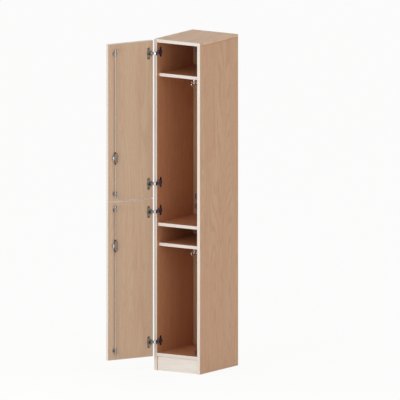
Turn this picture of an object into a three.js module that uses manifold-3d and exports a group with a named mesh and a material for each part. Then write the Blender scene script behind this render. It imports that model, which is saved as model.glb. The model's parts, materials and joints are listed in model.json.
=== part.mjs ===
// A tall two-door locker unit in laminated board. The doors hang on wide-angle cup hinges and
// stand open; each is locked by a pair of turning rods. Millimetres, +Z up, +Y to the back.
// The origin is on the floor, under the middle of the plinth board.
import * as THREE from "three";
import { mergeVertices } from "three/addons/utils/BufferGeometryUtils.js";
import Module from "manifold-3d";

const wasm = await Module();
wasm.setup();

// Overrun of every cut past the face it opens, and clearances between fitted pieces
const overrun = 1;
const fit = 0.3;

// Carcass
const width = 300;
const depth = 390;
const height = 1850;
const board = 18;
const edging = 2;
const edgingRound = 1;
const backBoard = 8;
const backInset = 10;
const grooveDepth = 6;
const grooveSlack = 0.5;
const plinthHeight = 80;
const plinthSetback = 8;
const dividerHeightShare = 0.43568;
const dividerSetback = 12;
// Clear heights above the two hat shelves
const upperHatSpace = 174;
const lowerHatSpace = 95;
const shelfSetback = 24;

// Doors
const doorSideReveal = 3;
const doorEndReveal = 2;
const doorGap = 3;
const doorSplitAboveDivider = 141;
const doorStandoff = 2;
const openAngle = THREE.MathUtils.degToRad(115);
// The axis a door swings about, measured on the closed door from its inner hinge-side corner
const swingOutside = 4.2;
const swingInFront = 15.9;

// Hinges
const hingeFromDoorTop = 73;
const hingeFromDoorBottom = 81;
const cupDiameter = 35;
const cupDepth = 12;
const cupFloor = 1.2;
const cupFromEdge = 22.5;
const pocketWidth = 16;
const pocketWall = 1.4;
const flangeLength = 67;
const flangeWidth = 19;
const flangeWaistWidth = 13;
const flangeLobe = 17;
const flangeThick = 1.2;
const flangeScrewSpan = 52;
const flangeScrewHole = 4.2;
const pinDiameter = 2.4;
const pinHole = 3;
const cupPinFromEdge = 14;
const cupPinDepth = 5;
const armPinOut = 11;
const armPinInFront = 2;
const knuckle = 5.2;
const armLinkThick = 4.8;
const armLinkHeight = 4.8;
const noseWidth = 10.2;
const linkSideGap = 0.3;
const cheekThick = 1.8;
const kneeShare = 0.225;
const kneeOffset = 4.7;
const webThick = 1.4;
const webLength = 8;
// The cup link's broad head over the middle pin
const headWidth = 20;
const headLength = 8.6;
const headDrop = 5;
const armWidth = 23;
const armWall = 1.6;
const armRear = 38;
const armTop = 12;
const armFoot = 3;
const armBend = 4;
const plateFromFront = 37;
const plateWingLength = 57;
const plateWingWidth = 14;
const plateWingThick = 2.5;
const plateScrewSpan = 32;
const plateScrewHole = 5;
const saddleFront = 22;
const saddleRear = 1;

// Locks
// Up from the gap between the doors to the upper lock, and down to the lower one
const lockFromSplit = 245;
const rodDiameter = 6;
const rodFromFreeEdge = 44;
const rodStandoff = 8;
const rodGapInCase = 6;
const caseHeight = 55;
const caseWidth = 19;
const caseThick = 13;
const caseChamfer = 4;
const collarDiameter = 9;
const collarLength = 8;
const caseFromFreeEdge = 47.5;
const hubDiameter = 23.5;
const hubThick = 7;
const hubRound = 1.5;
const hubFromFreeEdge = 38;
const neckDiameter = 18;
const neckProud = 1;
const plugDiameter = 12;
const plugDepth = 22;
const keySlotLength = 7.5;
const keySlotWidth = 1.6;
const keySlotDepth = 10;
// From each door end to the tip of its rod: upper door's top and bottom, lower door's top and bottom
const rodTopInsets = [30, 19];
const rodBottomInsets = [22, 30];
const hookHeight = 13;
const hookHubDiameter = 11;
const hookInnerRadius = 12.6;
const hookOuterRadius = 19.6;
const hookTipThick = 2.6;
const hookWebThick = 4;
const clawTipAngle = 0.18;
const guideGap = 2;
const guideHeight = 20;
const guideWidth = 26;
const guideFlangeThick = 2.2;
const guideWall = 3.2;

// Strikes on the right side panel
const strikePinDiameter = 5;
const strikePinRadius = 16.1;
const strikeEarGap = 19;
const strikeEarThick = 2;
const strikeEarWidth = 9;
const strikeBaseThick = 2;
const strikeBaseHeight = 38;
const strikeBaseWidth = 14;

// Coat hooks
const coatHookFromFront = 175;
const coatPlateDiameter = 26;
const coatPlateThick = 3;
const coatStemDiameter = 7;
const coatStemLength = 50;
const coatProngDiameter = 6;
const coatProngReach = 26;
const coatProngDrop = 13;
const coatTipInset = 5;
const coatTipRise = 22;
const coatTipDiameter = 8.5;
// Where the curve's two middle handles lie, in reaches out and in drops down
const prongHandleOutShare = 1.5;
const prongHandleDownShares = [1.5, 1.3];

// Facets round a circle
const roundSides = 28;
const barSides = 12;
const pinSides = 8;
const endSides = 4;
const prongSides = 8;
const prongSteps = 9;

const pinRadius = pinDiameter / 2;
const pinHoleRadius = pinHole / 2;
const rodHoleRadius = rodDiameter / 2 + fit;

// Materials
function finish(hex, roughness, metalness) {
  return new THREE.MeshStandardMaterial({ color: hex, roughness, metalness });
}
const beech = finish(0xbea086, 0.55, 0);
const cream = finish(0xe4dcd2, 0.5, 0);
const plinthCream = finish(0xe1d8cd, 0.6, 0);
const backBeech = finish(0xa5765a, 0.65, 0);
const chrome = finish(0xc9c6c2, 0.18, 1);
const darkNickel = finish(0x6f6a66, 0.35, 1);
const rodSteel = finish(0xb7ada7, 0.3, 1);
const lockNickel = finish(0x8f857c, 0.35, 1);

// Solids: three.js geometry in, one closed manifold solid out, and back
function solid(geometry) {
  const bare = geometry.clone();
  bare.deleteAttribute("normal");
  bare.deleteAttribute("uv");
  const merged = mergeVertices(bare, fit / 1000);
  const triVerts = merged.index
    ? new Uint32Array(merged.index.array)
    : Uint32Array.from({ length: merged.attributes.position.count }, (_, i) => i);
  const vertProperties = merged.attributes.position.array;
  return new wasm.Manifold(new wasm.Mesh({ numProp: 3, vertProperties, triVerts }));
}

function geometryOf(body) {
  const mesh = body.getMesh();
  const geometry = new THREE.BufferGeometry();
  geometry.setAttribute("position", new THREE.BufferAttribute(mesh.vertProperties, 3));
  geometry.setIndex(new THREE.BufferAttribute(mesh.triVerts, 1));
  const flat = geometry.toNonIndexed();
  flat.computeVertexNormals();
  return flat;
}

// A block between two corners
function block(x0, y0, z0, x1, y1, z1) {
  const geometry = new THREE.BoxGeometry(x1 - x0, y1 - y0, z1 - z0);
  return geometry.translate((x0 + x1) / 2, (y0 + y1) / 2, (z0 + z1) / 2);
}

// A round bar about +Z, centred on x, y, from z0 to z1
function barZ(x, y, radius, z0, z1, sides = barSides) {
  const geometry = new THREE.CylinderGeometry(radius, radius, z1 - z0, sides);
  return geometry.rotateX(Math.PI / 2).translate(x, y, (z0 + z1) / 2);
}

// A round bar about +Y, centred on x, z, from y0 to y1
function barY(x, z, radius, y0, y1, sides = barSides) {
  const geometry = new THREE.CylinderGeometry(radius, radius, y1 - y0, sides);
  return geometry.translate(x, (y0 + y1) / 2, z);
}

// A round bar about +X, centred on y, z, from x0 to x1
function barX(y, z, radius, x0, x1, sides = barSides) {
  const geometry = new THREE.CylinderGeometry(radius, radius, x1 - x0, sides);
  return geometry.rotateZ(Math.PI / 2).translate((x0 + x1) / 2, y, z);
}

// An outline in the XY plane, extruded along Z between two heights
function plateZ(shape, z0, z1, segments = endSides) {
  const settings = { depth: z1 - z0, bevelEnabled: false, curveSegments: segments };
  return new THREE.ExtrudeGeometry(shape, settings).translate(0, 0, z0);
}

// The outline of a strip of the given width with round ends, along a line of points
function stripShape(points, stripWidth) {
  const radius = stripWidth / 2;
  const shape = new THREE.Shape();
  const last = points.length - 1;
  const heading = (i) => points[i + 1].clone().sub(points[i]).angle();
  const first = heading(0);
  const end = heading(last - 1);
  shape.absarc(points[0].x, points[0].y, radius, first + Math.PI / 2, first - Math.PI / 2, false);
  for (let i = 1; i < last; i += 1) side(shape, points, i, heading, radius, -1);
  shape.absarc(points[last].x, points[last].y, radius, end - Math.PI / 2, end + Math.PI / 2, false);
  for (let i = last - 1; i > 0; i -= 1) side(shape, points, i, heading, radius, 1);
  return shape;
}

// The mitred corner of a strip at point i, on its right side (-1) or its left side (1)
function side(shape, points, i, heading, radius, hand) {
  const before = heading(i - 1);
  const bend = heading(i) - before;
  const turn = Math.atan2(Math.sin(bend), Math.cos(bend));
  const reach = radius / Math.cos(turn / 2);
  const angle = before + turn / 2 + (hand * Math.PI) / 2;
  shape.lineTo(points[i].x + reach * Math.cos(angle), points[i].y + reach * Math.sin(angle));
}

function join(...geometries) {
  return geometries.map(solid).reduce((whole, next) => whole.add(next));
}

function cut(body, ...geometries) {
  return geometries.map(solid).reduce((rest, next) => rest.subtract(next), body);
}

function place(group, name, geometry, material, x = 0, y = 0, z = 0) {
  const mesh = new THREE.Mesh(geometry, material);
  mesh.name = name;
  mesh.position.set(x, y, z);
  group.add(mesh);
  return mesh;
}

// The unit's own corner frame: x from the left side, y from the front edges, z from the floor
const root = new THREE.Group();
const unit = new THREE.Group();
unit.position.set(-width / 2, -(plinthSetback + board / 2), 0);
root.add(unit);

const innerWidth = width - 2 * board;
const topHeight = height - board;
const backFront = depth - backInset - backBoard;
const dividerHeight = height * dividerHeightShare;
const upperShelfHeight = topHeight - upperHatSpace - board;
const lowerShelfHeight = dividerHeight - lowerHatSpace - board;

// Front edging: a strip with its two long front corners rounded, as long as asked
function edgingStrip(length) {
  const shape = new THREE.Shape();
  shape.moveTo(0, edging);
  shape.lineTo(0, edgingRound);
  shape.absarc(edgingRound, edgingRound, edgingRound, Math.PI, 1.5 * Math.PI, false);
  shape.lineTo(board - edgingRound, 0);
  shape.absarc(board - edgingRound, edgingRound, edgingRound, -0.5 * Math.PI, 0, false);
  shape.lineTo(board, edging);
  return plateZ(shape, 0, length);
}

function uprightStrip(name, x, length) {
  place(unit, name, edgingStrip(length), cream, x, 0, 0);
}

// A level strip lies along +X; its own x runs up
function levelStrip(name, length, x, y, z) {
  const geometry = edgingStrip(length).rotateY(Math.PI / 2).scale(1, 1, -1);
  const strip = flipped(geometry);
  place(unit, name, strip, cream, x, y, z);
}

// A mirrored copy has its faces turned out again
function flipped(geometry) {
  const body = geometry.index ? geometry.toNonIndexed() : geometry;
  const position = body.attributes.position;
  for (let i = 0; i < position.count; i += 3) {
    const a = new THREE.Vector3().fromBufferAttribute(position, i);
    const b = new THREE.Vector3().fromBufferAttribute(position, i + 1);
    position.setXYZ(i, b.x, b.y, b.z);
    position.setXYZ(i + 1, a.x, a.y, a.z);
  }
  body.computeVertexNormals();
  return body;
}

function addCarcass() {
  const groove = (x0, x1) =>
    block(x0, backFront, -overrun, x1, backFront + backBoard, topHeight + overrun);
  const left = cut(
    join(block(0, edging, 0, board, depth, topHeight)),
    groove(board - grooveDepth, board + overrun),
  );
  const right = cut(
    join(block(0, edging, 0, board, depth, topHeight)),
    groove(-overrun, grooveDepth),
  );
  place(unit, "left_side_panel", geometryOf(left), beech);
  place(unit, "right_side_panel", geometryOf(right), beech, width - board);
  const topGroove = block(
    board - grooveDepth, backFront, -overrun, width - board + grooveDepth, backFront + backBoard, grooveDepth,
  );
  const top = cut(join(block(0, edging, 0, width, depth, board)), topGroove);
  place(unit, "top_panel", geometryOf(top), beech, 0, 0, topHeight);

  const backEdge = board - grooveDepth + grooveSlack;
  const backTop = topHeight + grooveDepth - grooveSlack;
  const back = block(backEdge, 0, plinthHeight, width - backEdge, backBoard, backTop);
  place(unit, "back_panel", back, backBeech, 0, backFront);

  const levelBoards = [
    ["base_panel", plinthHeight, 0, "base_edging"],
    ["divider_panel", dividerHeight, dividerSetback, "divider_edging"],
    ["upper_hat_shelf", upperShelfHeight, shelfSetback, "upper_hat_shelf_edging"],
    ["lower_hat_shelf", lowerShelfHeight, shelfSetback, "lower_hat_shelf_edging"],
  ];
  for (const [name, z, setback, edgingName] of levelBoards) {
    place(unit, name, block(0, setback + edging, 0, innerWidth, backFront, board), beech, board, 0, z);
    levelStrip(edgingName, innerWidth, board, setback, z);
  }
  levelStrip("top_edging", width, 0, 0, topHeight);
  uprightStrip("left_side_edging", 0, topHeight);
  uprightStrip("right_side_edging", width - board, topHeight);

  const plinth = block(0, 0, 0, innerWidth, board, plinthHeight);
  place(unit, "plinth_board", plinth, plinthCream, board, plinthSetback);
  place(unit, "plinth_rail", plinth, beech, board, backFront - board);
}

// A coat hook hangs from a round plate: a stem and two prongs that curl up to round tips
function coatHook() {
  const start = -coatStemLength;
  let body = join(
    barZ(0, 0, coatPlateDiameter / 2, -coatPlateThick, 0, roundSides),
    barZ(0, 0, coatStemDiameter / 2, start - coatProngDrop / 2, -coatPlateThick / 2),
  );
  const [near, far] = prongHandleDownShares.map((share) => start - coatProngDrop * share);
  for (const hand of [-1, 1]) {
    const path = new THREE.CubicBezierCurve3(
      new THREE.Vector3(0, 0, start),
      new THREE.Vector3(0, 0, near),
      new THREE.Vector3(0, hand * coatProngReach * prongHandleOutShare, far),
      new THREE.Vector3(0, hand * (coatProngReach - coatTipInset), start - coatProngDrop + coatTipRise),
    );
    const section = new THREE.Shape().absarc(0, 0, coatProngDiameter / 2, 0, 2 * Math.PI, false);
    const settings = { steps: prongSteps, extrudePath: path, curveSegments: prongSides };
    const tip = new THREE.SphereGeometry(coatTipDiameter / 2, prongSides, prongSides / 2);
    const end = path.getPoint(1);
    body = body.add(join(new THREE.ExtrudeGeometry(section, settings)));
    body = body.add(join(tip.translate(end.x, end.y, end.z)));
  }
  return geometryOf(body);
}

function addCoatHooks() {
  const geometry = coatHook();
  place(unit, "upper_coat_hook", geometry, chrome, width / 2, coatHookFromFront, upperShelfHeight);
  place(unit, "lower_coat_hook", geometry, chrome, width / 2, coatHookFromFront, lowerShelfHeight);
}

// Where a closed door lies, and the swing that carries it to its open place
const doorWidth = width - 2 * doorSideReveal;
const doorSplitHeight = dividerHeight + board + doorSplitAboveDivider;
const doorBottoms = [doorSplitHeight + doorGap / 2, plinthHeight + doorEndReveal];
const doorTops = [height - doorEndReveal, doorSplitHeight - doorGap / 2];
const lockHeights = [doorSplitHeight + lockFromSplit, doorSplitHeight - lockFromSplit];
const closedCorner = new THREE.Vector2(doorSideReveal, -doorStandoff);
const swingAxis = closedCorner.clone().add(new THREE.Vector2(-swingOutside, -swingInFront));
const origin2 = new THREE.Vector2();
const openCorner = closedCorner.clone().rotateAround(swingAxis, -openAngle);

// Hinge pins in the corner frame. The links are the sides of a parallelogram on the swing axis,
// the arm pin and the cup pin, so the arm link turns with the door and the cup link keeps its heading.
const armPin = new THREE.Vector2(board + armPinOut, -armPinInFront);
const cupPinClosed = closedCorner.clone().add(new THREE.Vector2(cupPinFromEdge, -cupPinDepth));
const armLinkSpan = cupPinClosed.clone().sub(swingAxis);
const cupLinkSpan = armPin.clone().sub(swingAxis);
const cupPinOpen = cupPinClosed.clone().rotateAround(swingAxis, -openAngle);

// Half widths across a hinge, from the middle outwards
const halfLink = armLinkThick / 2;
const halfNose = noseWidth / 2;
const cheekInside = halfNose + linkSideGap;
const cheekOutside = cheekInside + cheekThick;

function armLink() {
  const tip = new THREE.Vector2(armLinkSpan.length(), 0);
  const bar = plateZ(stripShape([origin2, tip], armLinkHeight), -halfLink, halfLink);
  const shoulder = barZ(tip.x, 0, pinRadius + webThick / 2, -halfNose, halfNose, pinSides);
  const pin = barZ(tip.x, 0, pinRadius, -headWidth / 2, headWidth / 2, pinSides);
  const hole = barZ(0, 0, pinHoleRadius, -halfLink - overrun, halfLink + overrun, pinSides);
  return geometryOf(cut(join(bar, shoulder, pin), hole));
}

// The cup link's line: from the cup pin over a knee that clears the door's edge to the middle pin
function cupLinkLine() {
  const end = new THREE.Vector2(cupLinkSpan.length(), 0);
  const knee = new THREE.Vector2(end.x * kneeShare, -kneeOffset);
  return [origin2.clone(), knee, end];
}

// The head wraps the middle pin: closed on its front side, open behind for the arm link
function linkHead(end, radius) {
  const from = end.x - headLength;
  const shape = new THREE.Shape();
  shape.moveTo(from, radius);
  shape.lineTo(from, -headDrop);
  shape.lineTo(end.x - radius, -headDrop);
  shape.quadraticCurveTo(end.x + radius, -headDrop, end.x + radius, 0);
  shape.absarc(end.x, 0, radius, 0, Math.PI / 2, false);
  const half = headWidth / 2;
  const far = end.x + radius + overrun;
  const inside = block(from - overrun, webThick - headDrop, -cheekInside, far, radius + overrun, cheekInside);
  return cut(join(plateZ(shape, -half, half)), inside);
}

function cupLink() {
  const line = cupLinkLine();
  const [start, knee, end] = line;
  const shape = stripShape(line, knuckle - 2 * fit);
  const cheeks = [
    plateZ(shape, cheekInside, cheekOutside),
    plateZ(shape, -cheekOutside, -cheekInside),
  ];
  const radius = knuckle / 2 - fit;
  const barrel = barZ(start.x, start.y, radius, -cheekOutside, cheekOutside);
  const outward = radius - webThick / 2;
  const webHalf = webLength / 2;
  const webMiddle = knee.y - outward;
  const webEnd = webMiddle + webThick / 2;
  const web = new THREE.Shape();
  web.moveTo(knee.x - webHalf, webEnd);
  web.quadraticCurveTo(knee.x, webMiddle - webThick / 2, knee.x + webHalf, webEnd);
  web.lineTo(knee.x + webHalf, webEnd + webThick);
  web.quadraticCurveTo(knee.x, webMiddle + webThick / 2, knee.x - webHalf, webEnd + webThick);
  const holes = [start, end].map((p) =>
    barZ(p.x, p.y, pinHoleRadius, -headWidth / 2 - overrun, headWidth / 2 + overrun, pinSides),
  );
  const bridge = plateZ(web, -cheekInside - fit, cheekInside + fit);
  return geometryOf(cut(join(...cheeks, barrel, bridge).add(linkHead(end, radius)), ...holes));
}

// The arm lies along the side panel: x out from the panel, y from the carcass front, z across
function hingeArm() {
  const profile = new THREE.Shape();
  const noseRadius = knuckle / 2;
  profile.moveTo(armFoot, armBend);
  profile.lineTo(armFoot, armRear);
  profile.lineTo(armTop - armWall, armRear);
  profile.quadraticCurveTo(armTop, armRear, armTop, armRear - armWall);
  profile.lineTo(armTop, armBend);
  profile.quadraticCurveTo(armTop, -armPinInFront + noseRadius, armPinOut + noseRadius, -armPinInFront);
  profile.absarc(armPinOut, -armPinInFront, noseRadius, 0, Math.PI, true);
  profile.lineTo(armPinOut - noseRadius, armBend);
  const half = armWidth / 2;
  const far = armRear + overrun;
  const noseBack = armBend - armWall;
  const noseOut = armPinOut + knuckle;
  const noseFront = -armPinInFront - knuckle;
  const bar = join(plateZ(profile, -half, half));
  const body = cut(
    bar,
    block(-overrun, armBend, -half + armWall, armTop - armWall, far, half - armWall),
    block(-overrun, noseFront, halfNose, noseOut, noseBack, half + overrun),
    block(-overrun, noseFront, -half - overrun, noseOut, noseBack, -halfNose),
    block(-overrun, noseFront, -halfLink - fit, noseOut, noseBack - fit, halfLink + fit),
  );
  const pin = barZ(armPinOut, -armPinInFront, pinRadius, -halfNose, halfNose, pinSides);
  return geometryOf(body.add(join(pin)));
}

// The cross-shaped plate: two wings along z, and a saddle along y that the arm slides over
function hingePlate() {
  const wing = new THREE.Shape();
  const radius = plateWingWidth / 2;
  const reach = plateWingLength / 2 - radius;
  wing.absarc(0, reach, radius, 0, Math.PI, false);
  wing.absarc(0, -reach, radius, Math.PI, 2 * Math.PI, false);
  const wings = plateZ(wing, 0, plateWingThick).applyMatrix4(alongPanel());
  const half = armWidth / 2 - armWall - fit;
  const saddleHeight = armTop - armWall - fit;
  const saddle = block(0, -saddleFront, -half, saddleHeight, saddleRear, half);
  const holes = [-1, 1].map((hand) =>
    barX(0, (hand * plateScrewSpan) / 2, plateScrewHole / 2, -overrun, saddleHeight + overrun),
  );
  return geometryOf(cut(join(wings, saddle), ...holes));
}

// Turns an outline drawn flat into one that lies on the side panel: its x to y, its y to z
function alongPanel() {
  return new THREE.Matrix4().set(0, 0, 1, 0, 1, 0, 0, 0, 0, 1, 0, 0, 0, 0, 0, 1);
}

// The cup's flange: a lobe for a screw at each end and a narrower waist between them
function flangeShape() {
  const flange = new THREE.Shape();
  const tall = flangeLength / 2;
  const wide = flangeWidth / 2;
  const corner = flangeWidth / 3;
  const neck = tall - flangeLobe;
  const x = (side, reach) => cupFromEdge + side * reach;
  flange.moveTo(x(-1, wide - corner), -tall);
  flange.lineTo(x(1, wide - corner), -tall);
  for (const [side, up] of [[1, -1], [1, 1], [-1, 1], [-1, -1]]) {
    const outer = [
      [x(side, wide - corner), up * tall],
      [x(side, wide), up * tall],
      [x(side, wide), up * (tall - corner)],
    ];
    const inner = [
      [x(side, wide), up * (neck + corner / 2)],
      [x(side, flangeWaistWidth / 2), up * neck],
    ];
    const coming = side * up < 0;
    if (coming) {
      flange.quadraticCurveTo(...outer[1], ...outer[2]);
      flange.quadraticCurveTo(...inner[0], ...inner[1]);
    } else {
      flange.lineTo(...inner[1]);
      flange.quadraticCurveTo(...inner[0], ...outer[2]);
      flange.quadraticCurveTo(...outer[1], ...outer[0]);
    }
  }
  return flange;
}

// The cup in the door's frame: x from the hinge-side edge, y out of the inner face, z across
function hingeCup() {
  const radius = cupDiameter / 2 - fit;
  const half = pocketWidth / 2;
  const plate = plateZ(flangeShape(), -fit - flangeThick, -fit).rotateX(Math.PI / 2);
  const rim = barY(cupFromEdge, 0, radius + flangeThick, fit, fit + flangeThick, roundSides);
  const bowl = barY(cupFromEdge, 0, radius, -cupDepth + fit, fit + flangeThick / 2, roundSides);
  const open = fit + flangeThick + overrun;
  const inside = barY(cupFromEdge, 0, radius - pocketWall, cupFloor - cupDepth, open, roundSides);
  const slot = block(cupFromEdge - radius, -cupDepth, -half, cupFromEdge + radius, open, half);
  const pocket = geometryOf(solid(inside).intersect(solid(slot)));
  const holes = [-1, 1].map((hand) =>
    barY(cupFromEdge, (hand * flangeScrewSpan) / 2, flangeScrewHole / 2, -overrun, open),
  );
  const pin = barZ(cupPinFromEdge, -cupPinDepth, pinRadius, -half - overrun, half + overrun, pinSides);
  return geometryOf(cut(join(plate, rim, bowl), pocket, ...holes).add(join(pin)));
}

// The lock case in the door's frame: x from the rods' axis towards the free edge, y out of the
// inner face, z from the middle of the case
function lockCase() {
  const half = caseWidth / 2;
  const middle = rodFromFreeEdge - caseFromFreeEdge;
  const hub = rodFromFreeEdge - hubFromFreeEdge;
  const tall = caseHeight / 2;
  const outline = new THREE.Shape();
  outline.moveTo(middle - half + caseChamfer, -tall);
  outline.lineTo(middle + half - caseChamfer, -tall);
  outline.lineTo(middle + half, -tall + caseChamfer);
  outline.lineTo(middle + half, tall - caseChamfer);
  outline.lineTo(middle + half - caseChamfer, tall);
  outline.lineTo(middle - half + caseChamfer, tall);
  outline.lineTo(middle - half, tall - caseChamfer);
  outline.lineTo(middle - half, -tall + caseChamfer);
  const shell = new THREE.ExtrudeGeometry(outline, {
    depth: caseThick - hubRound - fit,
    bevelThickness: hubRound,
    bevelSize: hubRound,
    bevelOffset: -hubRound,
    bevelSegments: 2,
  });
  shell.rotateX(Math.PI / 2).translate(0, caseThick - hubRound, 0);
  const top = caseThick + overrun;
  const above = block(middle - caseWidth, fit, -caseHeight, middle + caseWidth, top, caseHeight);
  const radius = hubDiameter / 2;
  const profile = [
    new THREE.Vector2(0, fit),
    new THREE.Vector2(radius, fit),
    new THREE.Vector2(radius, hubThick - hubRound),
    new THREE.Vector2(radius - hubRound / 3, hubThick - hubRound / 3),
    new THREE.Vector2(radius - hubRound, hubThick),
    new THREE.Vector2(0, hubThick),
  ];
  const boss = new THREE.LatheGeometry(profile, roundSides).translate(hub, 0, 0);
  const neckRadius = neckDiameter / 2 - fit;
  const front = -board - neckProud;
  const neck = barY(hub, 0, neckRadius, front, fit + hubRound, roundSides);
  const collarReach = tall + collarLength;
  const collars = barZ(0, rodStandoff, collarDiameter / 2, -collarReach, collarReach);
  const rodHole = barZ(0, rodStandoff, rodHoleRadius, -collarReach - overrun, collarReach + overrun);
  const plugHole = barY(
    hub, 0, plugDiameter / 2 + fit, front - overrun, front + plugDepth + fit, roundSides,
  );
  const body = join(shell).intersect(solid(above)).add(join(boss, neck, collars));
  return geometryOf(cut(body, rodHole, plugHole));
}

function keyPlug() {
  const plug = barY(0, 0, plugDiameter / 2, 0, plugDepth, roundSides);
  const half = keySlotLength / 2;
  const slot = block(-keySlotWidth / 2, -overrun, -half, keySlotWidth / 2, keySlotDepth, half);
  return geometryOf(cut(join(plug), slot));
}

// A rod about its own axis, with its hook at the top: the hook points away from the door
function lockRod(length) {
  const rod = barZ(0, 0, rodDiameter / 2, 0, length, barSides);
  const from = length - hookHeight;
  const hub = barZ(0, 0, hookHubDiameter / 2, from, length, barSides);
  // The claw is open on its +X side, where the strike pin comes in as the rod turns
  const inner = hookInnerRadius;
  const outer = hookOuterRadius;
  const rim = outer + hookTipThick;
  const web = Math.asin((strikePinDiameter / 2 + fit) / strikePinRadius);
  const away = web + hookWebThick / outer;
  const claw = new THREE.Shape();
  const at = (radius, angle) => [radius * Math.sin(angle), radius * Math.cos(angle)];
  claw.moveTo(...at(0, 0));
  claw.lineTo(...at(inner, clawTipAngle));
  claw.lineTo(...at(inner, -web));
  claw.lineTo(...at(outer, -web));
  claw.lineTo(...at(outer, clawTipAngle));
  claw.lineTo(...at(rim - hookTipThick / 4, clawTipAngle));
  claw.lineTo(...at(rim, 0));
  claw.lineTo(...at(rim, -away / 2));
  claw.lineTo(...at(rim - hookTipThick / 2, -away));
  claw.lineTo(...at(inner, -away));
  const plate = plateZ(claw, from, length);
  return geometryOf(join(rod, hub, plate));
}

// A guide clips the rod to the door: a flat foot and a round back with the rod's bore
function rodGuide() {
  const half = guideWidth / 2;
  const shoulder = rodHoleRadius + guideWall;
  const shape = new THREE.Shape();
  shape.moveTo(-half, fit);
  shape.lineTo(half, fit);
  shape.lineTo(half, guideFlangeThick);
  shape.lineTo(shoulder, guideFlangeThick);
  shape.absarc(0, rodStandoff, shoulder, 0, Math.PI, false);
  shape.lineTo(-shoulder, guideFlangeThick);
  shape.lineTo(-half, guideFlangeThick);
  const bore = barZ(0, rodStandoff, rodHoleRadius, -overrun, guideHeight + overrun);
  return geometryOf(cut(join(plateZ(shape, 0, guideHeight)), bore));
}

// The door panel's front face lies at y = -board, its inner face at y = 0
function doorPanel(doorHeight, hingeHeights, lockHeight) {
  const inset = edging + fit;
  const panel = block(inset, -board, inset, doorWidth - inset, 0, doorHeight - inset);
  const cups = hingeHeights.map((z) =>
    barY(cupFromEdge, z, cupDiameter / 2, -cupDepth, overrun, roundSides),
  );
  const bore = barY(
    doorWidth - hubFromFreeEdge, lockHeight, neckDiameter / 2, -board - overrun, overrun, roundSides,
  );
  return geometryOf(cut(join(panel), ...cups, bore));
}

// The edging band runs round all four edges; its long corners are rounded
function doorBand(doorHeight) {
  const round = edgingRound;
  const shape = new THREE.Shape();
  shape.moveTo(round, round);
  shape.lineTo(doorWidth - round, round);
  shape.lineTo(doorWidth - round, doorHeight - round);
  shape.lineTo(round, doorHeight - round);
  const slab = new THREE.ExtrudeGeometry(shape, {
    depth: board - 2 * round,
    bevelThickness: round,
    bevelSize: round,
    bevelSegments: 3,
  });
  slab.rotateX(Math.PI / 2).translate(0, -round, 0);
  const window = block(edging, -board - overrun, edging, doorWidth - edging, overrun, doorHeight - edging);
  return geometryOf(cut(join(slab), window));
}

const parts = {
  plate: hingePlate(),
  arm: hingeArm(),
  cup: hingeCup(),
  armLink: armLink(),
  cupLink: cupLink(),
  lockCase: lockCase(),
  plug: keyPlug(),
  guide: rodGuide(),
};

// The carcass half of a hinge and its two links, at one height
function addHinge(name, z) {
  place(unit, name + "_plate", parts.plate, darkNickel, board, plateFromFront, z);
  place(unit, name + "_arm", parts.arm, darkNickel, board, 0, z);
  const armHeading = armLinkSpan.angle() - openAngle;
  const arm = place(unit, name + "_arm_link", parts.armLink, chrome, armPin.x, armPin.y, z);
  arm.rotation.z = armHeading;
  const cup = place(unit, name + "_cup_link", parts.cupLink, chrome, cupPinOpen.x, cupPinOpen.y, z);
  cup.rotation.z = cupLinkSpan.angle();
}

// A strike: a foot on the right side panel and two ears that hold a pin upright
function strike() {
  const base = strikeBaseThick;
  const rodOut = width - board - doorSideReveal - (doorWidth - rodFromFreeEdge);
  const pinOut = rodOut - strikePinRadius;
  const half = strikeBaseWidth / 2;
  const tall = strikeBaseHeight / 2;
  const inner = strikeEarGap / 2;
  const outer = inner + strikeEarThick;
  const foot = block(-base, -half, -tall, 0, half, tall);
  const ear = new THREE.Shape();
  const round = strikeEarWidth / 2;
  ear.moveTo(-base / 2, -round);
  ear.lineTo(-base / 2, round);
  ear.lineTo(-pinOut, round);
  ear.absarc(-pinOut, 0, round, Math.PI / 2, 1.5 * Math.PI, false);
  const pin = barZ(-pinOut, 0, strikePinDiameter / 2, -inner - overrun, inner + overrun, barSides);
  return geometryOf(join(foot, plateZ(ear, -outer, -inner), plateZ(ear, inner, outer), pin));
}

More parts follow.
